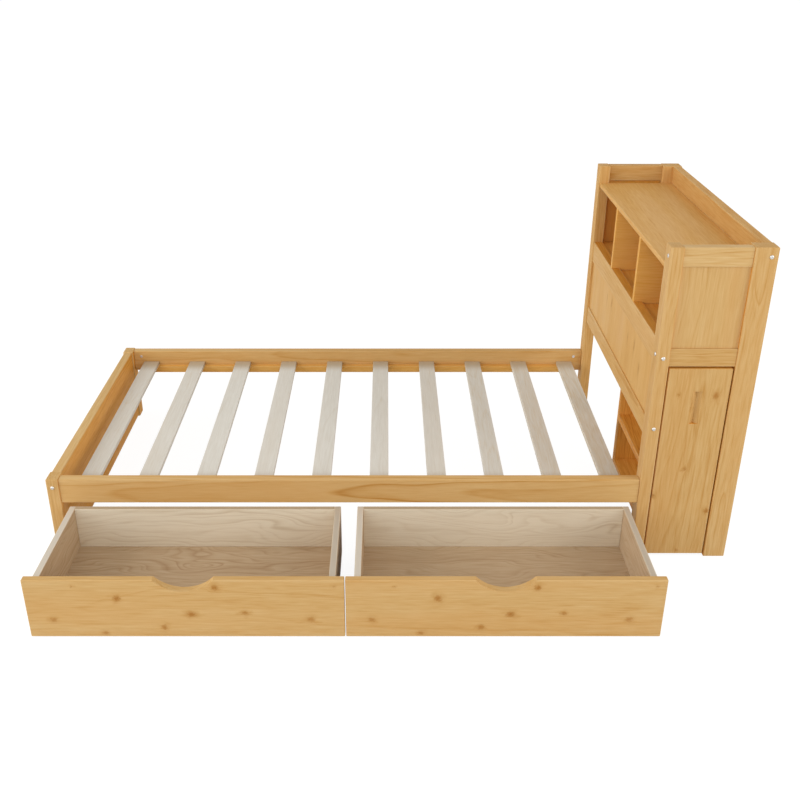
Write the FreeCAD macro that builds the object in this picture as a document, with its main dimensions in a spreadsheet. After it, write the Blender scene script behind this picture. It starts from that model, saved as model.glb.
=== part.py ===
import FreeCAD, Part
import os
import re
import Sketcher
from FreeCAD import Vector

os.makedirs("parts", exist_ok=True)
doc = FreeCAD.newDocument("storage_bed")

# Driving dimensions in millimetres
sizes = {
    # Bed base
    "rail_length": 1910,
    "bed_width": 1104,
    "post_width": 40,
    "post_depth": 54,
    "foot_post_height": 302,
    "rail_bottom": 212,
    "rail_height": 88,
    "rail_thickness": 32,
    "rail_recess": 4,
    "end_board_floor_gap": 8,
    "end_board_drop": 2,
    "ledger_width": 22,
    "ledger_height": 28,
    "ledger_setback": 36,
    "slat_count": 10,
    "slat_width": 64,
    "slat_thickness": 14,
    "slat_setback": 42,
    "slat_end_gap": 2,
    # Headboard
    "head_height": 1089,
    "rear_post_width": 71,
    "bay_length": 207,
    "side_rail_height": 59,
    "side_rail_thickness": 30,
    "side_rail_recess": 4,
    "side_rail_drop": 1,
    "middle_rail_bottom": 707,
    "front_rail_thickness": 32,
    "front_rail_recess": 4,
    "upper_rail_height": 79,
    "lower_rail_bottom": 444,
    "lower_rail_height": 64,
    "panel_thickness": 12,
    "panel_setback": 6,
    "panel_lip": 8,
    "groove_gap": 0.2,
    # Bookcase
    "top_drop": 65,
    "top_thickness": 16,
    "top_setback": 5,
    "floor_thickness": 12,
    "divider_thickness": 18,
    "divider_offset": 177,
    "back_thickness": 30,
    "back_inset": 4,
    # Pull-out shelf unit
    "door_gap": 4.5,
    "door_top_gap": 7,
    "door_floor_gap": 10,
    "door_thickness": 22,
    "door_recess": 2,
    "pull_width": 30,
    "pull_length": 114,
    "pull_depth": 12,
    "pull_height": 565,
    "unit_depth": 555,
    "unit_inset": 3,
    "end_panel_thickness": 18,
    "end_panel_drop": 60,
    "shelf_thickness": 23,
    "shelf_pitch": 194,
    # Drawers
    "drawer_out": 422,
    "drawer_end_gap": 4.5,
    "drawer_middle_gap": 3,
    "front_height": 208,
    "front_floor_gap": 2,
    "front_thickness": 23,
    "scoop_width": 180,
    "scoop_depth": 40,
    "box_inset": 26,
    "box_depth": 388,
    "box_height": 181,
    "box_floor_gap": 24,
    "box_wall": 20,
    "bottom_thickness": 8,
    "bottom_lip": 6,
    # Casters
    "caster_height": 51,
    "caster_inset": 62,
    "unit_caster_inset": 26,
    "wheel_diameter": 40,
    "wheel_width": 18,
    "axle_diameter": 6,
    "axle_play": 0.08,
    "fork_top_length": 40,
    "fork_foot_length": 16,
    "fork_foot_up": 12,
    "fork_wall": 3,
    "fork_play": 0.5,
    "plate_length": 54,
    "plate_thickness": 3,
    # Softened edges
    "frame_chamfer": 2,
    "board_chamfer": 1,
}
sheet = doc.addObject("Spreadsheet::Sheet", "Sizes")
for row, (name, number) in enumerate(sizes.items(), 1):
    sheet.set(f"A{row}", name)
    sheet.set(f"B{row}", str(number))
    sheet.setAlias(f"B{row}", name)
doc.recompute()

# Places that follow from the sizes
HEAD_FRONT = "(post_width + rail_length)"
BAY_FRONT = f"({HEAD_FRONT} + post_width)"
BAY_BACK = f"({BAY_FRONT} + bay_length)"
BED_LENGTH = f"({BAY_BACK} + rear_post_width)"
INNER_WIDTH = "(bed_width - 2 * post_depth)"
MIDDLE_RAIL_TOP = "(middle_rail_bottom + side_rail_height)"
SIDE_TOP_BOTTOM = "(head_height - side_rail_drop - side_rail_height)"
UPPER_RAIL_TOP = "(middle_rail_bottom + upper_rail_height)"
LOWER_RAIL_TOP = "(lower_rail_bottom + lower_rail_height)"
SIDE_PANEL_OFFSET = "(side_rail_recess + panel_setback)"
FRONT_PANEL_OFFSET = "(front_rail_recess + panel_setback)"
GROOVE_WIDTH = "(panel_thickness + 2 * groove_gap)"
FLOOR_TOP = f"({MIDDLE_RAIL_TOP} + floor_thickness)"
TOP_UNDERSIDE = "(head_height - top_drop - top_thickness)"
BACK_FACE = f"({BED_LENGTH} - back_inset - back_thickness)"
ORIGIN_ALONG = f"({BED_LENGTH} / 2)"
ORIGIN_ACROSS = "((bed_width + rail_recess - drawer_out) / 2)"

nodes = []
NORMALS = {"XY": 1, "XZ": -1, "YZ": 1}


def formula(text):
    return re.sub(r"[a-z][a-z_]*", lambda word: "Sizes." + word.group(), text)


def bind(item, name, text):
    item.setExpression(name, formula(text))


def place(item, along, across, up):
    bind(item, "Placement.Base.x", f"{along} - {ORIGIN_ALONG}")
    bind(item, "Placement.Base.y", f"{across} - {ORIGIN_ACROSS}")
    bind(item, "Placement.Base.z", up)


# A sketch on one of the body's own planes, moved along that plane's axis
def sketch_on(body, plane, start="0"):
    sketch = body.newObject("Sketcher::SketchObject", body.Name + "_sketch")
    base = next(item for item in body.Origin.OriginFeatures if item.Role == plane + "_Plane")
    sketch.AttachmentSupport = [(base, "")]
    sketch.MapMode = "FlatFace"
    bind(sketch, "AttachmentOffset.Base.z", f"{NORMALS[plane]} * ({start})")
    return sketch


def measure(sketch, kind, points, text):
    index = sketch.addConstraint(Sketcher.Constraint(kind, *points, 1.0))
    bind(sketch, f"Constraints[{index}]", text)


def rectangle(sketch, left, low, width, height):
    corners = [Vector(0, 0), Vector(1, 0), Vector(1, 1), Vector(0, 1)]
    for side in range(4):
        sketch.addGeometry(Part.LineSegment(corners[side], corners[(side + 1) % 4]))
    for side in range(4):
        sketch.addConstraint(Sketcher.Constraint("Coincident", side, 2, (side + 1) % 4, 1))
        sketch.addConstraint(Sketcher.Constraint(("Horizontal", "Vertical")[side % 2], side))
    measure(sketch, "DistanceX", (-1, 1, 0, 1), left)
    measure(sketch, "DistanceY", (-1, 1, 0, 1), low)
    measure(sketch, "DistanceX", (0, 1, 0, 2), width)
    measure(sketch, "DistanceY", (1, 1, 1, 2), height)


def circle(sketch, along, up, diameter):
    sketch.addGeometry(Part.Circle(Vector(1, 1), Vector(0, 0, 1), 1))
    measure(sketch, "DistanceX", (-1, 1, 0, 3), along)
    measure(sketch, "DistanceY", (-1, 1, 0, 3), up)
    measure(sketch, "Diameter", (0,), diameter)


# A V that opens on the sketch's lower axis, its point straight above the middle of the opening
def vee(sketch, middle, width, depth):
    corners = [Vector(0, 0), Vector(2, 0), Vector(1, 1)]
    for side in range(3):
        sketch.addGeometry(Part.LineSegment(corners[side], corners[(side + 1) % 3]))
    for side in range(3):
        sketch.addConstraint(Sketcher.Constraint("Coincident", side, 2, (side + 1) % 3, 1))
    sketch.addConstraint(Sketcher.Constraint("Horizontal", 0))
    sketch.addConstraint(Sketcher.Constraint("PointOnObject", 0, 1, -1))
    measure(sketch, "DistanceX", (0, 1, 0, 2), width)
    measure(sketch, "DistanceX", (-1, 1, 1, 2), middle)
    measure(sketch, "DistanceX", (0, 1, 1, 2), f"{width} / 2")
    measure(sketch, "DistanceY", (-1, 1, 1, 2), depth)


# A cheek that narrows downwards, even about the sketch's upright axis
def cheek(sketch, low, high, foot_length, top_length):
    corners = [Vector(-1, 0), Vector(1, 0), Vector(2, 5), Vector(-2, 5)]
    for side in range(4):
        sketch.addGeometry(Part.LineSegment(corners[side], corners[(side + 1) % 4]))
    for side in range(4):
        sketch.addConstraint(Sketcher.Constraint("Coincident", side, 2, (side + 1) % 4, 1))
    for edge in (0, 2):
        sketch.addConstraint(Sketcher.Constraint("Symmetric", edge, 1, edge, 2, -2))
    measure(sketch, "DistanceX", (0, 1, 0, 2), foot_length)
    measure(sketch, "DistanceX", (2, 2, 2, 1), top_length)
    measure(sketch, "DistanceY", (-1, 1, 0, 1), low)
    measure(sketch, "DistanceY", (-1, 1, 2, 1), high)


def pad(body, plane, draw, depth, start="0"):
    sketch = sketch_on(body, plane, start)
    draw(sketch)
    feature = body.newObject("PartDesign::Pad", body.Name + "_pad")
    feature.Profile = sketch
    feature.Reversed = NORMALS[plane] < 0
    bind(feature, "Length", depth)
    doc.recompute()
    return feature


# A pocket that starts on a plane and goes up its axis, or down it where forward is false
def cut(body, plane, draw, depth, start="0", forward=True):
    volume = body.Shape.Volume
    sketch = sketch_on(body, plane, start)
    draw(sketch)
    feature = body.newObject("PartDesign::Pocket", body.Name + "_pocket")
    feature.Profile = sketch
    feature.Reversed = forward == (NORMALS[plane] > 0)
    bind(feature, "Length", depth)
    doc.recompute()
    if body.Shape.Volume > volume - 1:
        raise ValueError(body.Label + " has a pocket that cuts nothing")


def bore(body, plane, along, up, diameter, depth, start="0", forward=True):
    cut(body, plane, lambda sketch: circle(sketch, along, up, diameter), depth, start, forward)


def chamfer(body, feature, width):
    edges = body.newObject("PartDesign::Chamfer", body.Name + "_chamfer")
    edges.Base = (feature, ["Edge1"])
    edges.UseAllEdges = True
    bind(edges, "Size", width)
    doc.recompute()


def new_body(label):
    body = doc.addObject("PartDesign::Body", label)
    body.Label = label
    return body


# A board sawn to size with softened edges, its low corner at the given place
def board(label, length, width, height, corner, softened="board_chamfer"):
    body = new_body(label)
    blank = pad(body, "XY", lambda sketch: rectangle(sketch, "0", "0", length, width), height)
    chamfer(body, blank, softened)
    place(body, *corner)
    nodes.append(body)
    return body


def group(label, bodies):
    compound = doc.addObject("Part::Compound", label)
    compound.Label = label
    compound.Links = bodies
    nodes.append(compound)


# Place across the bed of something that lies a distance in from the near or the far face
def inset(side, offset, thickness):
    return offset if side == "near" else f"(bed_width - {offset} - {thickness})"


# The same, within a piece of the given depth
def within(side, offset, thickness, depth):
    return offset if side == "near" else f"({depth} - {offset} - {thickness})"


SIDES = ("near", "far")

# Foot posts
for side in SIDES:
    board(f"foot_post_{side}", "post_width", "post_depth", "foot_post_height",
          ("0", inset(side, "0", "post_depth"), "0"), "frame_chamfer")

# End board between the foot posts
END_BOARD_HEIGHT = "(foot_post_height - end_board_drop - end_board_floor_gap)"
board("end_board", "rail_thickness", INNER_WIDTH, END_BOARD_HEIGHT,
      ("rail_recess", "post_depth", "end_board_floor_gap"), "frame_chamfer")

# Side rails between the foot posts and the headboard's front posts
for side in SIDES:
    board(f"side_rail_{side}", "rail_length", "rail_thickness", "rail_height",
          ("post_width", inset(side, "rail_recess", "rail_thickness"), "rail_bottom"), "frame_chamfer")

# Slat ledgers along the inner faces of the rails
for side in SIDES:
    board(f"slat_ledger_{side}", "rail_length - 2 * ledger_setback", "ledger_width", "ledger_height",
          ("post_width + ledger_setback", inset(side, "(rail_recess + rail_thickness)", "ledger_width"),
           "rail_bottom"))

# Slats, evenly spaced between the first and the last
SLAT_PITCH = "((rail_length - 2 * slat_setback - slat_width) / (slat_count - 1))"
SLAT_INSET = "(rail_recess + rail_thickness + slat_end_gap)"
for number in range(sizes["slat_count"]):
    board(f"slat_{number + 1:02d}", "slat_width", f"bed_width - 2 * {SLAT_INSET}", "slat_thickness",
          (f"post_width + slat_setback + {number} * {SLAT_PITCH}", SLAT_INSET, "rail_bottom + ledger_height"))

# Headboard front posts, grooved for the side panel and the front panel
SIDE_GROOVE_LOW = f"({MIDDLE_RAIL_TOP} - panel_lip)"
SIDE_GROOVE_HEIGHT = f"({SIDE_TOP_BOTTOM} - {MIDDLE_RAIL_TOP} + 2 * panel_lip)"
FRONT_GROOVE_LOW = f"({LOWER_RAIL_TOP} - panel_lip)"
FRONT_GROOVE_HEIGHT = f"(middle_rail_bottom - {LOWER_RAIL_TOP} + 2 * panel_lip)"
for side in SIDES:
    post = board(f"head_post_front_{side}", "post_width", "post_depth", "head_height",
                 (HEAD_FRONT, inset(side, "0", "post_depth"), "0"), "frame_chamfer")
    side_groove = within(side, f"({SIDE_PANEL_OFFSET} - groove_gap)", GROOVE_WIDTH, "post_depth")
    inner_face = "post_depth" if side == "near" else "0"
    cut(post, "YZ", lambda sketch: rectangle(sketch, side_groove, SIDE_GROOVE_LOW, GROOVE_WIDTH,
        SIDE_GROOVE_HEIGHT), "panel_lip + groove_gap", "post_width", False)
    cut(post, "XZ", lambda sketch: rectangle(sketch, f"{FRONT_PANEL_OFFSET} - groove_gap", FRONT_GROOVE_LOW,
        GROOVE_WIDTH, FRONT_GROOVE_HEIGHT), "panel_lip + groove_gap", inner_face, side == "far")

# Headboard rear posts, grooved for the side panel
for side in SIDES:
    post = board(f"head_post_rear_{side}", "rear_post_width", "post_depth", "head_height",
                 (BAY_BACK, inset(side, "0", "post_depth"), "0"), "frame_chamfer")
    side_groove = within(side, f"({SIDE_PANEL_OFFSET} - groove_gap)", GROOVE_WIDTH, "post_depth")
    cut(post, "YZ", lambda sketch: rectangle(sketch, side_groove, SIDE_GROOVE_LOW, GROOVE_WIDTH,
        SIDE_GROOVE_HEIGHT), "panel_lip + groove_gap")

# Side rails of the headboard, each grooved along the edge that holds the panel
for side in SIDES:
    groove = within(side, f"({SIDE_PANEL_OFFSET} - side_rail_recess - groove_gap)", GROOVE_WIDTH,
                    "side_rail_thickness")
    for level, low, groove_face in (("top", SIDE_TOP_BOTTOM, "0"),
                                    ("middle", "middle_rail_bottom", "side_rail_height")):
        rail = board(f"side_{level}_rail_{side}", "bay_length", "side_rail_thickness", "side_rail_height",
                     (BAY_FRONT, inset(side, "side_rail_recess", "side_rail_thickness"), low))
        cut(rail, "XY", lambda sketch: rectangle(sketch, "0", groove, "bay_length", GROOVE_WIDTH),
            "panel_lip + groove_gap", groove_face, level == "top")

# Side panels, housed in the grooves on all four edges
for side in SIDES:
    board(f"side_panel_{side}", "bay_length + 2 * panel_lip", "panel_thickness", SIDE_GROOVE_HEIGHT,
          (f"{BAY_FRONT} - panel_lip", inset(side, SIDE_PANEL_OFFSET, "panel_thickness"), SIDE_GROOVE_LOW))

# Front rails of the headboard and the panel housed between them
for level, low, height, groove_face in (
        ("upper", "middle_rail_bottom", "upper_rail_height", "0"),
        ("lower", "lower_rail_bottom", "lower_rail_height", "lower_rail_height")):
    rail = board(f"front_{level}_rail", "front_rail_thickness", INNER_WIDTH, height,
                 (f"{HEAD_FRONT} + front_rail_recess", "post_depth", low))
    cut(rail, "XY", lambda sketch: rectangle(sketch, f"{FRONT_PANEL_OFFSET} - front_rail_recess - groove_gap",
        "0", GROOVE_WIDTH, INNER_WIDTH), "panel_lip + groove_gap", groove_face, level == "upper")
board("front_panel", "panel_thickness", f"{INNER_WIDTH} + 2 * panel_lip", FRONT_GROOVE_HEIGHT,
      (f"{HEAD_FRONT} + {FRONT_PANEL_OFFSET}", "post_depth - panel_lip", FRONT_GROOVE_LOW))

# Back board between the rear posts, closing the bookcase and standing above its top
board("bookcase_back", "back_thickness", INNER_WIDTH, "head_height - side_rail_drop - middle_rail_bottom",
      (BACK_FACE, "post_depth", "middle_rail_bottom"))

# Bookcase floor behind the front upper rail, with a tongue at each end that lies on the middle rail
FLOOR_FRONT = f"({HEAD_FRONT} + front_rail_recess + front_rail_thickness)"
FLOOR_REST = f"({SIDE_PANEL_OFFSET} + panel_thickness + groove_gap)"
TONGUE = f"(post_depth - {FLOOR_REST})"
FLOOR_WIDTH = f"(bed_width - 2 * {FLOOR_REST})"
floor = board("bookcase_floor", f"{BACK_FACE} - {FLOOR_FRONT}", FLOOR_WIDTH, "floor_thickness",
              (FLOOR_FRONT, FLOOR_REST, MIDDLE_RAIL_TOP))
for low in ("0", f"{FLOOR_WIDTH} - {TONGUE}"):
    for left, length in (
            ("0", f"{BAY_FRONT} - {FLOOR_FRONT} + groove_gap"),
            (f"{BAY_BACK} - {FLOOR_FRONT} - groove_gap", f"{BACK_FACE} - {BAY_BACK} + groove_gap")):
        cut(floor, "XY", lambda sketch: rectangle(sketch, left, low, length, TONGUE), "floor_thickness")

# Bookcase top and the two dividers under it
TOP_FRONT = f"({HEAD_FRONT} + top_setback)"
TOP_DEPTH = f"({BACK_FACE} - {TOP_FRONT})"
board("bookcase_top", TOP_DEPTH, INNER_WIDTH, "top_thickness",
      (TOP_FRONT, "post_depth", TOP_UNDERSIDE))
for side, way in (("near", "-"), ("far", "+")):
    divider = board(f"bookcase_divider_{side}", TOP_DEPTH, "divider_thickness",
                    f"{TOP_UNDERSIDE} - {FLOOR_TOP}",
                    (TOP_FRONT, f"bed_width / 2 {way} divider_offset - divider_thickness / 2", FLOOR_TOP))
    cut(divider, "XZ", lambda sketch: rectangle(sketch, "0", "0", f"{FLOOR_FRONT} - {TOP_FRONT} + groove_gap",
        f"{UPPER_RAIL_TOP} - {FLOOR_TOP} + groove_gap"), "divider_thickness")

# Door of the pull-out unit with its grooved pull
DOOR_LEFT = f"({BAY_FRONT} + door_gap)"
DOOR_WIDTH = "(bay_length - 2 * door_gap)"
DOOR_HEIGHT = "(middle_rail_bottom - door_top_gap - door_floor_gap)"
door = board("pullout_door", DOOR_WIDTH, "door_thickness", DOOR_HEIGHT,
             (DOOR_LEFT, "door_recess", "door_floor_gap"), "frame_chamfer")
PULL_LOW = "(pull_height - door_floor_gap - pull_length / 2)"
cut(door, "XY", lambda sketch: vee(sketch, f"{DOOR_WIDTH} / 2", "pull_width", "pull_depth"),
    "pull_length", PULL_LOW)

# End panel, bottom and shelves of the pull-out unit
UNIT_LEFT = f"({DOOR_LEFT} + unit_inset)"
UNIT_WIDTH = f"({DOOR_WIDTH} - 2 * unit_inset)"
SHELF_START = "(door_recess + door_thickness)"
SHELF_LENGTH = "(unit_depth - door_thickness - end_panel_thickness)"
board("pullout_end_panel", UNIT_WIDTH, "end_panel_thickness",
      f"{DOOR_HEIGHT} + door_floor_gap - end_panel_drop - caster_height",
      (UNIT_LEFT, "door_recess + unit_depth - end_panel_thickness", "caster_height"))
for level, label in enumerate(("pullout_bottom", "pullout_shelf_lower", "pullout_shelf_upper")):
    board(label, UNIT_WIDTH, SHELF_LENGTH, "shelf_thickness",
          (UNIT_LEFT, SHELF_START, f"caster_height + {level} * shelf_pitch"))

# Drawers, each with a scooped front and a box whose bottom is housed in grooves
FRONT_LENGTH = "((rail_length - 2 * drawer_end_gap - drawer_middle_gap) / 2)"
FRONT_FACE = "(rail_recess - drawer_out)"
BOX_START = f"({FRONT_FACE} + front_thickness)"
BOX_WIDTH = f"({FRONT_LENGTH} - 2 * box_inset)"
BOTTOM_UP = "(caster_height - box_floor_gap - groove_gap)"
BOTTOM_GROOVE = "(bottom_thickness + 2 * groove_gap)"
BOX_CLEAR = f"({BOX_WIDTH} - 2 * box_wall)"
SCOOP_RADIUS = "((scoop_width ^ 2 / 4 + scoop_depth ^ 2) / (2 * scoop_depth))"
DRAWERS = {
    "left": "(post_width + drawer_end_gap)",
    "right": f"(post_width + drawer_end_gap + {FRONT_LENGTH} + drawer_middle_gap)",
}
for name, start in DRAWERS.items():
    box_left = f"({start} + box_inset)"
    front = board(f"drawer_{name}_front", FRONT_LENGTH, "front_thickness", "front_height",
                  (start, FRONT_FACE, "front_floor_gap"), "frame_chamfer")
    bore(front, "XZ", f"{FRONT_LENGTH} / 2", f"front_height - scoop_depth + {SCOOP_RADIUS}",
         f"2 * {SCOOP_RADIUS}", "front_thickness")
    cut(front, "XZ", lambda sketch: rectangle(sketch, "box_inset + box_wall - bottom_lip",
        "caster_height - front_floor_gap - groove_gap", f"{BOX_CLEAR} + 2 * bottom_lip", BOTTOM_GROOVE),
        "bottom_lip + groove_gap", "front_thickness", False)
    for hand, left, inner_face in (("left", box_left, "box_wall"),
                                   ("right", f"{box_left} + {BOX_WIDTH} - box_wall", "0")):
        wall = board(f"drawer_{name}_side_{hand}", "box_wall", "box_depth", "box_height",
                     (left, BOX_START, "box_floor_gap"))
        cut(wall, "YZ", lambda sketch: rectangle(sketch, "0", BOTTOM_UP, "box_depth - box_wall + bottom_lip",
            BOTTOM_GROOVE), "bottom_lip + groove_gap", inner_face, hand == "right")
    back = board(f"drawer_{name}_back", BOX_CLEAR, "box_wall", "box_height",
                 (f"{box_left} + box_wall", f"{BOX_START} + box_depth - box_wall", "box_floor_gap"))
    cut(back, "XZ", lambda sketch: rectangle(sketch, "0", BOTTOM_UP, BOX_CLEAR, BOTTOM_GROOVE),
        "bottom_lip + groove_gap")
    board(f"drawer_{name}_bottom", f"{BOX_CLEAR} + 2 * bottom_lip", "box_depth - box_wall + 2 * bottom_lip",
          "bottom_thickness",
          (f"{box_left} + box_wall - bottom_lip", f"{BOX_START} - bottom_lip", "caster_height"))

# Caster forks with their axles, and the wheels that turn on them
FORK_GAP = "(wheel_width + 2 * fork_play)"
FORK_WIDTH = f"({FORK_GAP} + 2 * fork_wall)"
PLATE_UP = "(caster_height - plate_thickness)"


def caster_fork(label, along, across):
    body = new_body(label)
    pad(body, "XY", lambda sketch: rectangle(sketch, f"-{FORK_WIDTH} / 2", "-plate_length / 2", FORK_WIDTH,
        "plate_length"), "plate_thickness", PLATE_UP)
    pad(body, "YZ", lambda sketch: cheek(sketch, "fork_foot_up", PLATE_UP, "fork_foot_length",
        "fork_top_length"), FORK_WIDTH, f"-{FORK_WIDTH} / 2")
    cut(body, "XZ", lambda sketch: rectangle(sketch, f"-{FORK_GAP} / 2", "0", FORK_GAP, PLATE_UP),
        "plate_length", "-plate_length / 2")
    pad(body, "YZ", lambda sketch: circle(sketch, "0", "wheel_diameter / 2", "axle_diameter"),
        FORK_WIDTH, f"-{FORK_WIDTH} / 2")
    place(body, along, across, "0")
    return body


def caster_wheel(label, along, across):
    body = new_body(label)
    pad(body, "YZ", lambda sketch: circle(sketch, "0", "0", "wheel_diameter"), "wheel_width",
        "-wheel_width / 2")
    bore(body, "YZ", "0", "0", "axle_diameter + 2 * axle_play", "wheel_width", "-wheel_width / 2")
    place(body, along, across, "wheel_diameter / 2")
    return body


def caster_set(name, left, width, inward, start, depth):
    forks = []
    for end, across in (("front", f"{start} + caster_inset"),
                        ("rear", f"{start} + {depth} - caster_inset")):
        wheels = []
        for hand, along in (("left", f"{left} + {inward}"), ("right", f"{left} + {width} - {inward}")):
            forks.append(caster_fork(f"{name}_fork_{end}_{hand}", along, across))
            wheels.append(caster_wheel(f"{name}_wheel_{end}_{hand}", along, across))
        group(f"{name}_wheels_{end}", wheels)
    group(f"{name}_caster_forks", forks)


for name, start in DRAWERS.items():
    caster_set(f"drawer_{name}", f"({start} + box_inset)", BOX_WIDTH, "caster_inset",
               BOX_START, "box_depth")
caster_set("pullout", UNIT_LEFT, UNIT_WIDTH, "unit_caster_inset", "door_recess", "unit_depth")

# Every piece is checked and written to its own file
doc.recompute()
for item in doc.Objects:
    if "Invalid" in item.State or "Error" in item.State:
        raise ValueError(item.Label + " did not build")
for node in nodes:
    if node.Shape.isNull() or not node.Shape.isValid():
        raise ValueError(node.Label + " has no valid shape")
    node.Shape.exportStep(f"parts/{node.Label}.step")
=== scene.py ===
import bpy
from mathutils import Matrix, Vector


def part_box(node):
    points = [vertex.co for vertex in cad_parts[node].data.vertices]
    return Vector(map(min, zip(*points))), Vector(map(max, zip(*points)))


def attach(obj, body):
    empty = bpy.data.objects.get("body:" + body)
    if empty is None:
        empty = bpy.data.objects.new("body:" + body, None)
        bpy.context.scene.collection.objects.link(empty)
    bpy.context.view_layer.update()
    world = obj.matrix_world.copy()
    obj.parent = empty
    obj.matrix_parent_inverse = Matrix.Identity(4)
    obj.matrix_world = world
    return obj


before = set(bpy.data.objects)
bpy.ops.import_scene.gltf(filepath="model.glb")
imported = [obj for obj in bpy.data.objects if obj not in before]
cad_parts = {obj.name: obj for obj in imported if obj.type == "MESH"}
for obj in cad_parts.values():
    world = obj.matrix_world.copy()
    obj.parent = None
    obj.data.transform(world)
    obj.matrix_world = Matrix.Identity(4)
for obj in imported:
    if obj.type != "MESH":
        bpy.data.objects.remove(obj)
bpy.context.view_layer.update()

# Foot posts
# Two short posts that carry the foot of the bed, planed from flat-sawn pine and given a clear
# satin lacquer. Their grain runs upright, and their inner faces carry painted shade in a redder, deeper
# pine.
import bpy
from itertools import count
from mathutils import Euler, Matrix, Vector

HONEY_PINE = ((0.0, (0.700, 0.496, 0.245)), (0.4, (0.615, 0.385, 0.153)),
              (0.72, (0.520, 0.280, 0.082)), (1.0, (0.415, 0.180, 0.036)))
# A redder, deeper pine for redder boards, and for painted shade on shaded faces and on boards deep inside
REDDER_AND_SHADED_PINE = ((0.0, (0.840, 0.462, 0.112)), (0.4, (0.768, 0.372, 0.066)),
              (0.72, (0.650, 0.272, 0.036)), (1.0, (0.495, 0.172, 0.017)))
KNOT_BROWN = (0.350, 0.128, 0.018)
ROSY = (1.02, 0.88, 0.74)
LACQUER_GLOSS = 0.06
FIBRES_PER_METRE = (15, 260, 260)
STREAKS_PER_METRE = (6, 115, 115)
CLOUDS_PER_METRE = (0.9, 13, 13)
BLUSHES_PER_METRE = (0.7, 8, 8)
CLEAR_PATCHES_PER_METRE = (0.9, 7, 7)
ARRIS_WIDTH = 0.005
# Where painted shade at a board's ends begins and where it reaches full strength, in metres from the end
END_SHADE_START = 0.11
END_SHADE_FULL = 0.025
board_numbers = count(1)


class Finish:
    def __init__(self, tree):
        self.tree = tree

    def feed(self, socket, value):
        if isinstance(value, bpy.types.NodeSocket):
            self.tree.links.new(value, socket)
        else:
            socket.default_value = value

    def node(self, kind, sockets, operation=None):
        made = self.tree.nodes.new(kind)
        if operation:
            made.operation = operation
        for key, value in sockets.items():
            self.feed(made.inputs[key], value)
        return made

    def number(self, operation, first, second=0.0, third=0.0):
        return self.node("ShaderNodeMath", {0: first, 1: second, 2: third}, operation).outputs[0]

    def vector(self, operation, first, second):
        return self.node("ShaderNodeVectorMath", {0: first, 1: second}, operation).outputs[0]

    def length(self, arrow):
        return self.node("ShaderNodeVectorMath", {0: arrow}, "LENGTH").outputs["Value"]

    def turned_to(self, facing, way):
        return self.node("ShaderNodeVectorMath", {0: facing, 1: way}, "DOT_PRODUCT").outputs["Value"]

    def fade(self, value, start, stop, first=0.0, last=1.0):
        made = self.node("ShaderNodeMapRange", {0: value, 1: start, 2: stop, 3: first, 4: last})
        made.interpolation_type = "SMOOTHSTEP"
        return made.outputs[0]

    def mottle(self, place, scales, detail=2.0):
        spread = self.vector("MULTIPLY", place, scales)
        return self.node("ShaderNodeTexNoise", {"Vector": spread, "Scale": 1.0, "Detail": detail}).outputs

    def ripple(self, value, detail):
        made = self.node("ShaderNodeTexNoise", {"Scale": 1.0, "Detail": detail})
        made.noise_dimensions = "1D"
        self.feed(made.inputs["W"], value)
        return made.outputs[0]

    def jostle(self, place, cut, scales, detail, reach):
        push = self.vector("SUBTRACT", self.mottle(cut, scales, detail)["Color"], (0.5, 0.5, 0.5))
        return self.vector("ADD", place, self.vector("MULTIPLY", push, reach))

    def ramp(self, value, stops):
        band = self.node("ShaderNodeValToRGB", {0: value})
        marks = band.color_ramp.elements
        for mark, (place, colour) in zip(marks, (stops[0], stops[-1])):
            mark.position = place
            mark.color = (*colour, 1)
        for place, colour in stops[1:-1]:
            marks.new(place).color = (*colour, 1)
        return band.outputs[0]

    def tint(self, amount, under, over):
        made = self.node("ShaderNodeMix", {0: amount, 6: under, 7: over})
        made.data_type = "RGBA"
        return made.outputs[2]

    def stain(self, amount, under, colour):
        return self.tint(amount, under, (*colour, 1))

    def bump(self, height, strength, distance):
        sockets = {"Height": height, "Strength": strength, "Distance": distance}
        return self.node("ShaderNodeBump", sockets).outputs[0]

    def surface(self, sockets):
        shader = self.tree.nodes["Principled BSDF"]
        for key, value in sockets.items():
            self.feed(shader.inputs[key], value)


def new_finish(name):
    material = bpy.data.materials.new(name)
    material.use_nodes = True
    return material, Finish(material.node_tree)


# The board's own axes: along the grain, across its width and through its thickness
def board_axes(low, high, grain):
    sides = Vector(high) - Vector(low)
    first = "XYZ".index(grain)
    thin = min((axis for axis in range(3) if axis != first), key=lambda axis: sides[axis])
    wide = 3 - first - thin
    unturned = Matrix.Identity(3)
    turn = Matrix((unturned[first], unturned[wide], unturned[thin]))
    if turn.determinant() < 0:
        turn[2] = -turn[2]
    return turn, (sides[first], sides[wide], sides[thin])


# Knots stain the wood round them and darken to a ragged brown core
def knot_marks(wood, board, cut, knots):
    smeared = wood.jostle(board, cut, (34, 60, 60), 2.0, (0.05, 0.03, 0))
    ragged = wood.jostle(board, cut, (150, 210, 150), 3.0, (0.022, 0.014, 0))
    halo = core = 0.0
    for spot, size, stretch, depth in knots:
        reach = []
        for field in (smeared, ragged):
            away = wood.vector("SUBTRACT", field, (spot.x, spot.y, 0))
            reach.append(wood.length(wood.vector("MULTIPLY", away, (1 / stretch, 1, 0))))
        stain = wood.number("MULTIPLY", wood.fade(reach[0], 2.1 * size, 0), depth)
        middle = wood.number("MULTIPLY", wood.fade(reach[1], 1.05 * size, 0.15 * size), depth)
        halo = wood.number("MAXIMUM", halo, stain)
        core = wood.number("MAXIMUM", core, middle)
    return halo, core


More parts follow.
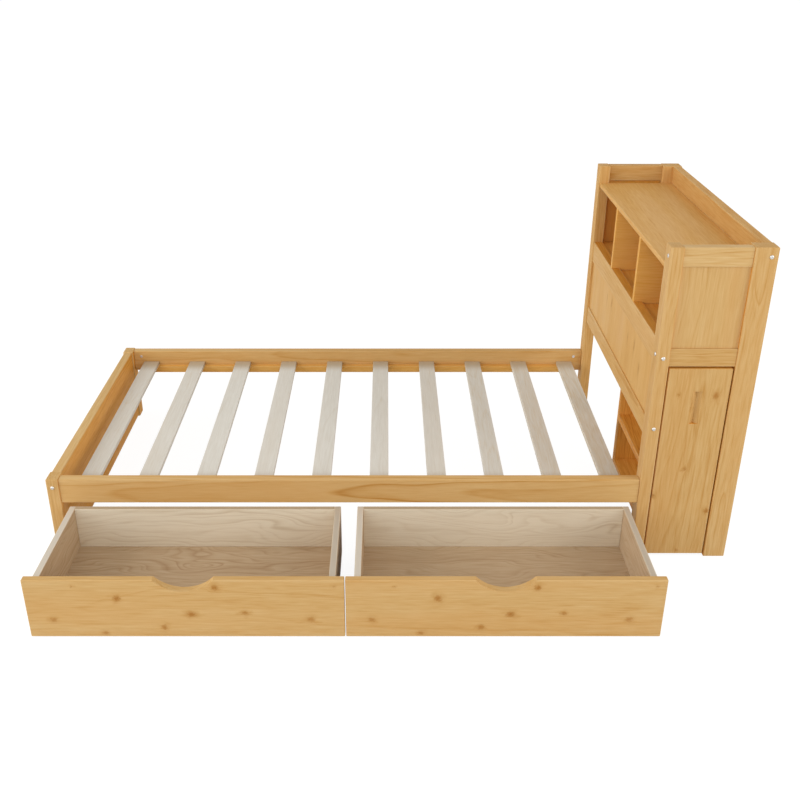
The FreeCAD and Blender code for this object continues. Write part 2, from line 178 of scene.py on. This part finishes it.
# Year rings that darken through the late wood, uneven in width and clearer in some places
def year_rings(wood, cut, from_heart, ring, late, steady, chance):
    uneven = wood.ripple(wood.number("MULTIPLY", from_heart, 0.55 / ring), 1.0)
    years = wood.number("MULTIPLY_ADD", uneven, 1.6, wood.number("MULTIPLY", from_heart, 1 / ring))
    greys = ((0.0, 0.0), (1 - late, 0.08), (1 - 0.55 * late, 0.5), (1 - 0.3 * late, 1.0), (1.0, 0.0))
    years = wood.ramp(wood.number("FRACT", years), [(place, (grey, grey, grey)) for place, grey in greys])
    strong = wood.ripple(wood.number("MULTIPLY_ADD", from_heart, 0.8 / ring, 40 + 9 * chance), 0.0)
    patches = wood.mottle(cut, CLEAR_PATCHES_PER_METRE)[0]
    clear = wood.number("MULTIPLY", wood.fade(patches, 0.34, 0.66, 0.2, 1.3),
                        wood.fade(strong, 0.35, 0.65, 0.25, 1.3))
    return wood.number("MULTIPLY", years, wood.number("MULTIPLY_ADD", clear, 1 - steady, steady))


def sawn_wood(name, low, high, grain, tones=HONEY_PINE, ring=0.0105, ring_show=0.2, late=0.5, heart=0.055,
              sway=0.02, aside=0.0, curl=1.0, steady=0.0, lean=(0.0, 0.0), streak=0.48, fibre=0.85,
              blush=0.25, tone=0.38, red=0.0, heart_side=None, heart_tone=0.0, satin=0.5, knots=(),
              plies=0.0, edge=None, stained_ends=0.0):
    number = next(board_numbers)
    luck = [(number * step) % 1 for step in (0.618, 0.755, 0.57, 0.819)]
    material, wood = new_finish(name)
    pale, plain, deep, darkest = [colour for place, colour in tones]
    turn, (length, width, thickness) = board_axes(low, high, grain)
    twist = 0.0 if plies else 0.02
    tilt = [angle + twist * (chance - 0.5) for angle, chance in zip(lean, luck)]
    turn = Euler((0, *tilt)).to_matrix() @ turn
    centre = (Vector(low) + Vector(high)) / 2
    coords = wood.node("ShaderNodeTexCoord", {}).outputs
    board = wood.node("ShaderNodeMapping", {"Vector": coords["Object"], "Location": -(turn @ centre),
                                            "Rotation": turn.to_euler()}).outputs[0]
    cut = wood.vector("ADD", board, (19 * luck[2], 7 * luck[0], 5 * luck[3]))

    # Rings round the heart of the log, which sways along the stem and gives way to knots
    swayed = wood.jostle(board, cut, (1.3 * curl, 4 * curl, 4 * curl), 2.0, (0, 5 * sway, 5 * sway))
    log_heart = (0, aside + 0.5 * width * (luck[3] - 0.5), -heart * (0.8 + 0.5 * luck[2]))
    from_heart = wood.vector("SUBTRACT", swayed, log_heart)
    from_heart = wood.length(wood.vector("MULTIPLY", from_heart, (0, 1, 1)))
    if knots:
        spots = [(turn @ (Vector(place) - centre), *look) for place, *look in knots]
        halo, core = knot_marks(wood, board, cut, spots)
        from_heart = wood.number("MULTIPLY_ADD", halo, 0.012, from_heart)
    years = year_rings(wood, cut, from_heart, ring, late, steady, luck[1])

    # Fibres, streaks and broad changes of tone along the board, and the layers of plywood
    fine = wood.mottle(cut, FIBRES_PER_METRE, 3.0)[0]
    middling = wood.mottle(cut, STREAKS_PER_METRE, 3.0)[0]
    broad = wood.mottle(cut, CLOUDS_PER_METRE)[0]
    shade = tone - 0.3 * ring_show - 0.5 * (1.7 * streak + fibre)
    for figure, show in ((years, ring_show), (broad, 0.7 * streak), (middling, streak), (fine, fibre)):
        shade = wood.number("MULTIPLY_ADD", figure, show, shade)
    if plies:
        through = wood.node("ShaderNodeSeparateXYZ", {0: board}).outputs[2]
        layer = wood.fade(wood.number("PINGPONG", through, plies), 0.4 * plies, 0.6 * plies)
        shade = wood.number("MULTIPLY_ADD", layer, 0.16, shade)
    colour = wood.ramp(shade, tones)

    # Redder wood all over (on boards deep inside this is painted shade), and painted shade in a redder,
    # deeper pine on the faces turned to one side; blushes of warmer tone, knots and plywood edges
    if red or heart_side:
        redder = wood.ramp(wood.number("ADD", shade, heart_tone), REDDER_AND_SHADED_PINE)
        amount = red
        if heart_side:
            amount = wood.fade(wood.turned_to(coords["Normal"], heart_side), 0.6, 0.9, red, 1.0)
        colour = wood.tint(amount, colour, redder)
    rosy = [part * much for part, much in zip(plain, ROSY)]
    blushes = wood.mottle(cut, BLUSHES_PER_METRE)[0]
    colour = wood.stain(wood.fade(blushes, 0.42, 0.68, 0.0, blush), colour, rosy)
    if knots:
        colour = wood.stain(wood.number("MULTIPLY", halo, 0.9), colour, deep)
        colour = wood.stain(wood.number("MULTIPLY", core, 0.85), colour, KNOT_BROWN)
    if plies:
        edgeways = wood.number("ABSOLUTE", wood.turned_to(coords["Normal"], turn[1]))
        colour = wood.stain(wood.fade(edgeways, 0.7, 0.95, 0.0, 0.8), colour, edge)

    # Paler along the long arrises, partly lacquer rubbed thin and partly a painted highlight; end grain
    # that drinks the lacquer darker; and painted shade towards the ends where asked
    inside = wood.node("ShaderNodeVectorMath", {0: board}, "ABSOLUTE").outputs[0]
    inside = wood.vector("SUBTRACT", inside, (length / 2, width / 2, thickness / 2))
    from_end, from_side, from_face = wood.node("ShaderNodeSeparateXYZ", {0: inside}).outputs
    arris = wood.number("MULTIPLY", wood.fade(from_side, -ARRIS_WIDTH, -0.001),
                        wood.fade(from_face, -ARRIS_WIDTH, -0.001))
    arris = wood.number("MULTIPLY", arris, wood.fade(middling, 0.35, 0.65, 0.15, 0.5))
    colour = wood.stain(arris, colour, pale)
    endways = wood.number("ABSOLUTE", wood.turned_to(coords["Normal"], turn[0]))
    colour = wood.stain(wood.fade(endways, 0.7, 0.95, 0.0, 0.15), colour, deep)
    # Painted shade darkening towards the board's ends, where it lies between the rails
    if stained_ends:
        end_shade = wood.fade(from_end, -END_SHADE_START, -END_SHADE_FULL, 0.0, stained_ends)
        colour = wood.stain(end_shade, colour, darkest)
    wood.surface({"Base Color": colour, "Normal": wood.bump(fine, 0.12, 0.0006),
                  "Roughness": wood.fade(broad, 0.3, 0.7, satin - 0.06, satin + 0.08),
                  "Specular IOR Level": LACQUER_GLOSS})
    return material


def cover(node, material):
    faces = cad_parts[node].data.materials
    faces.clear()
    faces.append(material)


def dress(node, grain, **finish):
    low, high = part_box(node)
    cover(node, sawn_wood("wood_" + node, low, high, grain, **finish))


for side in ("near", "far"):
    dress(f"foot_post_{side}", "Z", tone=0.33, heart_side=(1, 0, 0))

# End board
# One tall board between the foot posts, edge-glued pine with its grain across the bed; its inner
# face carries painted shade in a redder, deeper pine.
dress("end_board", "Y", ring=0.013, tone=0.27, heart_side=(1, 0, 0), heart_tone=0.2)

# Side rails and ledgers
# Long pine boards from the foot posts to the headboard, each with a batten screwed along its
# inner face for the slats to lie on.
for side, tone in (("near", 0.36), ("far", 0.46)):
    dress(f"side_rail_{side}", "X", ring=0.014, ring_show=0.52, sway=0.014, steady=0.4, lean=(0.022, 0.0),
          streak=0.3, fibre=0.5, red=0.12, tone=tone)
    dress(f"slat_ledger_{side}", "X", red=0.8, tone=0.28)

# Slats
# Thin cross boards of pale, unlacquered softwood laid across the ledgers, sawn a little rough
# and greyer than the lacquered frame. Their tones darken towards the headboard and a little towards the
# foot, and their ends darken where they lie between the rails, both painted shade.
BARE_SOFTWOOD = ((0.0, (0.800, 0.785, 0.745)), (0.4, (0.715, 0.685, 0.630)),
                 (0.72, (0.650, 0.560, 0.425)), (1.0, (0.500, 0.400, 0.275)))
# Tones slat by slat, darker towards the headboard and a little towards the foot: painted shade
SLAT_PAINTED_SHADE_TONES = (0.38, 0.33, 0.29, 0.26, 0.26, 0.29, 0.35, 0.40, 0.49, 0.57)
for number, tone in enumerate(SLAT_PAINTED_SHADE_TONES, 1):
    dress(f"slat_{number:02d}", "Y", tones=BARE_SOFTWOOD, ring_show=0.1, streak=0.36, fibre=0.6, blush=0.12,
          tone=tone, satin=0.65, stained_ends=0.9)

# Headboard posts
# Four tall pine posts that carry the bookcase, the rear pair wider. Their grain runs upright,
# their arrises are just eased, and the near pair carry painted shade in a redder, deeper pine on the faces
# towards the door between them.
for place, tone, red, inward in (("front", 0.4, 0.05, 1), ("rear", 0.34, 0.0, -1)):
    dress(f"head_post_{place}_near", "Z", sway=0.026, tone=tone, red=red, heart_side=(inward, 0, 0),
          heart_tone=0.2)
    dress(f"head_post_{place}_far", "Z", sway=0.026, tone=0.4, red=0.2)

# Headboard sides
# Short pine rails between the posts with a panel let into their grooves. The near top rail is
# palest, and the panels carry painted shade in a redder, deeper pine on their faces towards the bookcase.
for side, tone, inward in (("near", 0.29, 1), ("far", 0.6, -1)):
    dress(f"side_top_rail_{side}", "X", tone=tone)
    dress(f"side_middle_rail_{side}", "X", tone=0.56)
    dress(f"side_panel_{side}", "Z", ring=0.013, ring_show=0.14, streak=0.36, fibre=0.6, blush=0.45,
          tone=0.33, heart_side=(0, inward, 0))

# Headboard front
# Upper and lower pine rails across the bed with a flat panel let in between them; the panel's
# grain is upright and has a few dark resin streaks.
PANEL_STREAKS = ((0.632, 0.168, 0.008, 3.0, 0.5), (0.712, 0.155, 0.008, 3.0, 0.25),
                 (0.262, 0.147, 0.008, 3.5, 0.45), (0.357, 0.140, 0.008, 3.5, 0.35),
                 (0.177, 0.100, 0.009, 3.0, 0.4))


def knots_on(node, width_axis, marks):
    corner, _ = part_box(node)
    across = Vector([float(axis == width_axis) for axis in "XYZ"])
    up = Vector((0, 0, 1))
    return [(Vector(corner) + step * across + rise * up, *look) for step, rise, *look in marks]


# The upper rail's top face, the sill under the bookcase, carries painted shade in a redder, deeper pine
dress("front_upper_rail", "Y", red=0.15, tone=0.28, heart_side=(0, 0, 1), heart_tone=0.25)
dress("front_lower_rail", "Y", red=0.15)
dress("front_panel", "Z", ring_show=0.14, streak=0.36, fibre=0.6, red=0.28, tone=0.26,
      knots=knots_on("front_panel", "Y", PANEL_STREAKS))

# Bookcase
# Back, floor, top and two dividers of edge-glued pine board between the posts. The floor lies on
# the middle rails with a tongue at each end, the dividers are notched over the front upper rail,
# and the boards deep inside are painted reddest, as shade.
dress("bookcase_top", "Y", ring=0.013, ring_show=0.14, red=0.45, tone=0.34)
dress("bookcase_back", "Y", ring=0.013, ring_show=0.14, red=0.2, tone=0.42)
dress("bookcase_floor", "Y", ring=0.013, ring_show=0.14, red=1.0, tone=0.2)
for side in ("near", "far"):
    dress(f"bookcase_divider_{side}", "X", ring_show=0.16, red=0.9, tone=0.1)

# Pull-out shelf unit
# A narrow rolling case behind a knotty pine door with a grooved pull and a long resin streak
# beside it; its end panel, bottom and shelves are painted a redder, deeper pine as shade.
DOOR_KNOTS = ((0.0406, 0.602, 0.0065, 1.2, 0.55), (0.1574, 0.597, 0.0130, 1.3, 0.7),
              (0.0927, 0.3325, 0.0080, 1.1, 0.75), (0.1878, 0.171, 0.0115, 1.1, 0.75),
              (0.0035, 0.2294, 0.0100, 1.0, 0.6), (0.1085, 0.0143, 0.0075, 1.2, 0.6),
              (0.0850, 0.5650, 0.0045, 9.0, 0.42))
# The door's faces turned towards the foot and upwards, its edges in the gaps and the pull's walls, carry
# painted shade in a redder, deeper pine
dress("pullout_door", "Z", ring=0.014, sway=0.03, streak=0.42, fibre=0.7, tone=0.45, heart_side=(-1, 0, 1),
      knots=knots_on("pullout_door", "X", DOOR_KNOTS))
dress("pullout_end_panel", "Z", red=0.8, tone=0.78)
for piece in ("bottom", "shelf_lower", "shelf_upper"):
    dress(f"pullout_{piece}", "Y", red=0.8, tone=0.78)

# Drawers
# Two wide drawers with scooped fronts of knotty pine; the boxes behind them are pale plywood,
# peeled from the log so that the figure wanders, with the bottoms let into grooves.
FRONT_KNOTS = ((0.146, 0.186, 0.0060, 1.2, 0.40), (0.2745, 0.143, 0.0150, 1.0, 0.75),
               (0.568, 0.182, 0.0125, 1.1, 0.80), (0.078, 0.064, 0.0105, 1.4, 0.55),
               (0.4915, 0.084, 0.0130, 1.4, 0.75), (0.406, 0.036, 0.0130, 1.0, 0.65),
               (0.651, 0.089, 0.0085, 1.7, 0.65), (0.848, 0.065, 0.0130, 1.3, 0.50),
               (0.2265, 0.014, 0.0095, 1.4, 0.55), (0.920, 0.187, 0.0060, 1.2, 0.35))
PEELED_PLY = ((0.0, (0.785, 0.712, 0.578)), (0.4, (0.635, 0.536, 0.398)),
              (0.72, (0.520, 0.386, 0.252)), (1.0, (0.390, 0.256, 0.146)))
PALE_EDGE = (0.690, 0.650, 0.585)
GREY_EDGE = (0.540, 0.490, 0.420)
# The backs' top edges are painted darker: painted shade
SHADED_BACK_EDGE = (0.430, 0.335, 0.230)


def dress_ply(node, grain, edge, tone, ring_show=0.17):
    dress(node, grain, tones=PEELED_PLY, ring=0.017, ring_show=ring_show, late=0.7, heart=0.02, aside=0.6,
          sway=0.055, curl=1.7, steady=0.45, streak=0.3, fibre=0.34, blush=0.1, satin=0.62, plies=0.0024,
          edge=edge, tone=tone)


for name in ("left", "right"):
    front = f"drawer_{name}_front"
    dress(front, "X", ring=0.014, ring_show=0.18, heart=0.09, streak=0.42, fibre=0.66, tone=0.37,
          knots=knots_on(front, "X", FRONT_KNOTS))
    # The bottoms and sides take much deeper tones than the backs: partly a browner sheet for the bottoms,
    # partly painted shade inside the boxes
    dress_ply(f"drawer_{name}_bottom", "X", GREY_EDGE, 0.76)
    dress_ply(f"drawer_{name}_back", "X", SHADED_BACK_EDGE, 0.09, ring_show=0.28)
    dress_ply(f"drawer_{name}_side_left", "Y", PALE_EDGE, 0.74)
    dress_ply(f"drawer_{name}_side_right", "Y", GREY_EDGE, 0.72)

# Casters
# Fixed casters screwed under the drawers and the shelf unit: black moulded forks, each with an
# axle, and dark grey moulded wheels that turn on it.
FORK_BLACK = (0.012, 0.012, 0.013)
WHEEL_GREY = (0.06, 0.06, 0.065)
SPECKLES_PER_METRE = 900


def moulded_plastic(name, colour, rough):
    material, plastic = new_finish(name)
    coords = plastic.node("ShaderNodeTexCoord", {}).outputs
    speckle = plastic.node("ShaderNodeTexNoise", {"Vector": coords["Object"], "Scale": SPECKLES_PER_METRE})
    speckle = speckle.outputs[0]
    paler = [1.5 * part + 0.01 for part in colour]
    plastic.surface({"Base Color": plastic.stain(speckle, (*colour, 1), paler), "Roughness": rough,
                     "Normal": plastic.bump(speckle, 0.15, 0.0002)})
    return material


fork_plastic = moulded_plastic("black_fork_plastic", FORK_BLACK, 0.45)
wheel_plastic = moulded_plastic("grey_wheel_plastic", WHEEL_GREY, 0.5)
for carried in ("drawer_left", "drawer_right", "pullout"):
    cover(f"{carried}_caster_forks", fork_plastic)
    for end in ("front", "rear"):
        cover(f"{carried}_wheels_{end}", wheel_plastic)

# Frame bolts
# Bright zinc-plated bolts that draw the rails into the posts: low domed heads with a hexagon
# socket, tightened until the heads sit hard on the wood.
import bmesh

BOLT_RADIUS = 0.0062
BOLT_RIM = 0.0012
DOME_STEPS = ((0.0006, 0.0008), (0.0010, 0.0007), (0.0013, 0.0004))
SOCKET_RADIUS = 0.0024
SOCKET_FLOOR = 0.0013
SOCKET_CUT = 0.004
ZINC_TONES = ((0.0, (0.56, 0.55, 0.53)), (1.0, (0.76, 0.75, 0.72)))
ZINC_ROUGHNESS = (0.38, 0.55)
CRYSTALS_PER_METRE = 420
POST_BOLTS = (("foot_post", 0.0195, (0.2715,)), ("head_post_front", 0.020, (0.490, 0.735)),
              ("head_post_rear", 0.0506, (1.060,)))
HEADBOARD_BOLT_INSET = 0.0195
HEADBOARD_BOLT_HEIGHTS = (0.743, 1.0585)


def pick_top(piece):
    bpy.ops.mesh.select_mode(type="FACE")
    bpy.ops.mesh.select_all(action="DESELECT")
    shell = bmesh.from_edit_mesh(piece.data)
    for face in shell.faces:
        face.select_set(face.normal.z > 0.99)
    bmesh.update_edit_mesh(piece.data)


def turned_blank(radius, rim, steps):
    bpy.ops.object.select_all(action="DESELECT")
    bpy.ops.mesh.primitive_cylinder_add(vertices=32, radius=radius, depth=rim, location=(0, 0, rim / 2))
    piece = bpy.context.object
    bpy.ops.object.transform_apply(location=True)
    bpy.ops.object.mode_set(mode="EDIT")
    for step, rise in steps:
        pick_top(piece)
        bpy.ops.mesh.inset(thickness=step)
        bpy.ops.transform.translate(value=(0, 0, rise))
    bpy.ops.object.mode_set(mode="OBJECT")
    return piece


def hollow(piece, cutter):
    taken = piece.modifiers.new("hollow", "BOOLEAN")
    taken.operation = "DIFFERENCE"
    taken.object = cutter
    bpy.ops.object.select_all(action="DESELECT")
    piece.select_set(True)
    bpy.context.view_layer.objects.active = piece
    bpy.ops.object.modifier_apply(modifier="hollow")
    bpy.ops.object.shade_smooth_by_angle(angle=0.6)
    bpy.data.objects.remove(cutter)


def fasten(pattern, name, place, facing):
    piece = pattern.copy()
    piece.data = pattern.data.copy()
    piece.name = piece.data.name = name
    turn = Vector(facing).to_track_quat("Z", "Y").to_matrix().to_4x4()
    piece.data.transform(Matrix.Translation(place) @ turn)
    bpy.context.scene.collection.objects.link(piece)
    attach(piece, "frame")


bolt = turned_blank(BOLT_RADIUS, BOLT_RIM, DOME_STEPS)
bpy.ops.mesh.primitive_cylinder_add(vertices=6, radius=SOCKET_RADIUS, depth=SOCKET_CUT,
                                    location=(0, 0, SOCKET_FLOOR + SOCKET_CUT / 2))
hollow(bolt, bpy.context.object)
bright_zinc, zinc = new_finish("bright_zinc")
coords = zinc.node("ShaderNodeTexCoord", {}).outputs
cloud = zinc.node("ShaderNodeTexNoise", {"Vector": coords["Object"], "Scale": CRYSTALS_PER_METRE,
                                         "Detail": 4}).outputs[0]
smooth, dull = ZINC_ROUGHNESS
sheen = zinc.node("ShaderNodeMapRange", {"Value": cloud, "To Min": smooth, "To Max": dull}).outputs[0]
zinc.surface({"Base Color": zinc.ramp(cloud, ZINC_TONES), "Roughness": sheen, "Metallic": 1.0})
bolt.data.materials.append(bright_zinc)
for side, outward in (("near", -1), ("far", 1)):
    for post, inset, heights in POST_BOLTS:
        low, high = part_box(f"{post}_{side}")
        face = low[1] if outward < 0 else high[1]
        for number, height in enumerate(heights, 1):
            place = (low[0] + inset, face, height)
            fasten(bolt, f"bolt_{post}_{side}_{number}", place, (0, outward, 0))
low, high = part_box("head_post_front_near")
for number, height in enumerate(HEADBOARD_BOLT_HEIGHTS, 1):
    place = (low[0], low[1] + HEADBOARD_BOLT_INSET, height)
    fasten(bolt, f"bolt_headboard_front_near_{number}", place, (-1, 0, 0))
bpy.data.objects.remove(bolt)

# Barrel nuts
# Slotted zinc barrels let into the rails near their ends, where the frame bolts screw into them;
# only the slotted end shows on the rail's inner face.
BARREL_RADIUS = 0.006
BARREL_RIM = 0.0006
BARREL_BEVEL = ((0.0006, 0.0003),)
SLOT_LENGTH = 0.009
SLOT_WIDTH = 0.0014
SLOT_FLOOR = 0.0004
SLOT_CUT = 0.001
BARREL_RISE = 0.064
FOOT_BARREL_INSET = 0.0307
HEAD_BARREL_INSET = 0.034
barrel = turned_blank(BARREL_RADIUS, BARREL_RIM, BARREL_BEVEL)
bpy.ops.mesh.primitive_cube_add(size=1, location=(0, 0, SLOT_FLOOR + SLOT_CUT / 2),
                                scale=(SLOT_LENGTH, SLOT_WIDTH, SLOT_CUT))
hollow(barrel, bpy.context.object)
barrel.data.materials.append(bright_zinc)
for side, inward in (("near", 1), ("far", -1)):
    low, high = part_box(f"side_rail_{side}")
    face = high[1] if inward > 0 else low[1]
    for end, along in (("foot", low[0] + FOOT_BARREL_INSET), ("head", high[0] - HEAD_BARREL_INSET)):
        fasten(barrel, f"barrel_nut_{side}_{end}", (along, face, low[2] + BARREL_RISE), (0, inward, 0))
bpy.data.objects.remove(barrel)

# Floor, light and camera
# A white studio floor under even light from all round, with soft boxes in front, on the left and
# on the right, and the camera where the photograph was taken from.
from math import radians

FLOOR_SIZE = 60
FLOOR_DROP = 0.0006
FLOOR_GREY = (0.78, 0.78, 0.78, 1)
FLOOR_GLOW = 1.16
GLOW_SHARE = 0.8
ROOM_LIGHT = (0.60, 0.58, 0.54, 1)
WHITE = (1, 1, 1, 1)
SOFT_BOXES = (("front_softbox", (-0.8, -6.5, 2.8), (0, 0, 0.5), 4.0, 94, (0.96, 0.98, 1.0)),
              ("left_softbox", (-5.5, -1.2, 2.2), (0.5, 0.2, 0.5), 3.5, 172, (1.0, 0.98, 0.95)),
              ("right_softbox", (5.0, -2.5, 2.4), (-0.4, 0, 0.3), 3.5, 104, (1.0, 0.96, 0.9)))
CAMERA_PLACE = (-0.01546, -3.08296, 1.94153)
CAMERA_DIP = 26.19
FOCAL_LENGTH = 43.743
FILM_WIDTH = 36
FILM_SHIFT = 0.01675


def background_rays(finish):
    path = finish.node("ShaderNodeLightPath", {}).outputs
    direct = finish.number("MAXIMUM", path["Is Camera Ray"], path["Is Glossy Ray"])
    return finish.number("MAXIMUM", direct, path["Is Transmission Ray"])


bpy.ops.object.select_all(action="DESELECT")
bpy.ops.mesh.primitive_plane_add(size=FLOOR_SIZE, location=(0, 0, -FLOOR_DROP))
floor = bpy.context.object
floor.name = "studio_floor"
studio_white, white = new_finish("studio_white")
white.surface({"Base Color": FLOOR_GREY, "Roughness": 0.9, "Specular IOR Level": 0.0})
matt = white.tree.nodes["Principled BSDF"].outputs[0]
glow = white.node("ShaderNodeEmission", {"Strength": FLOOR_GLOW}).outputs[0]
shown = white.number("MULTIPLY", background_rays(white), GLOW_SHARE)
blend = white.node("ShaderNodeMixShader", {0: shown, 1: matt, 2: glow}).outputs[0]
white.feed(white.tree.nodes["Material Output"].inputs["Surface"], blend)
floor.data.materials.append(studio_white)

world = bpy.data.worlds.new("studio")
bpy.context.scene.world = world
world.use_nodes = True
backdrop = Finish(world.node_tree)
level = backdrop.tint(background_rays(backdrop), ROOM_LIGHT, WHITE)
backdrop.feed(world.node_tree.nodes["Background"].inputs["Color"], level)

for name, place, aim, size, power, colour in SOFT_BOXES:
    lamp = bpy.data.lights.new(name, "AREA")
    lamp.size = size
    lamp.energy = power
    lamp.color = colour
    stand = bpy.data.objects.new(name, lamp)
    stand.location = place
    stand.rotation_euler = (Vector(aim) - Vector(place)).to_track_quat("-Z", "Y").to_euler()
    bpy.context.scene.collection.objects.link(stand)

lens = bpy.data.cameras.new("photo_camera")
lens.lens = FOCAL_LENGTH
lens.sensor_width = FILM_WIDTH
lens.shift_x = FILM_SHIFT
camera = bpy.data.objects.new("photo_camera", lens)
camera.location = CAMERA_PLACE
camera.rotation_euler = (radians(90 - CAMERA_DIP), 0, 0)
bpy.context.scene.collection.objects.link(camera)
bpy.context.scene.camera = camera
bpy.context.scene.view_settings.view_transform = "Standard"
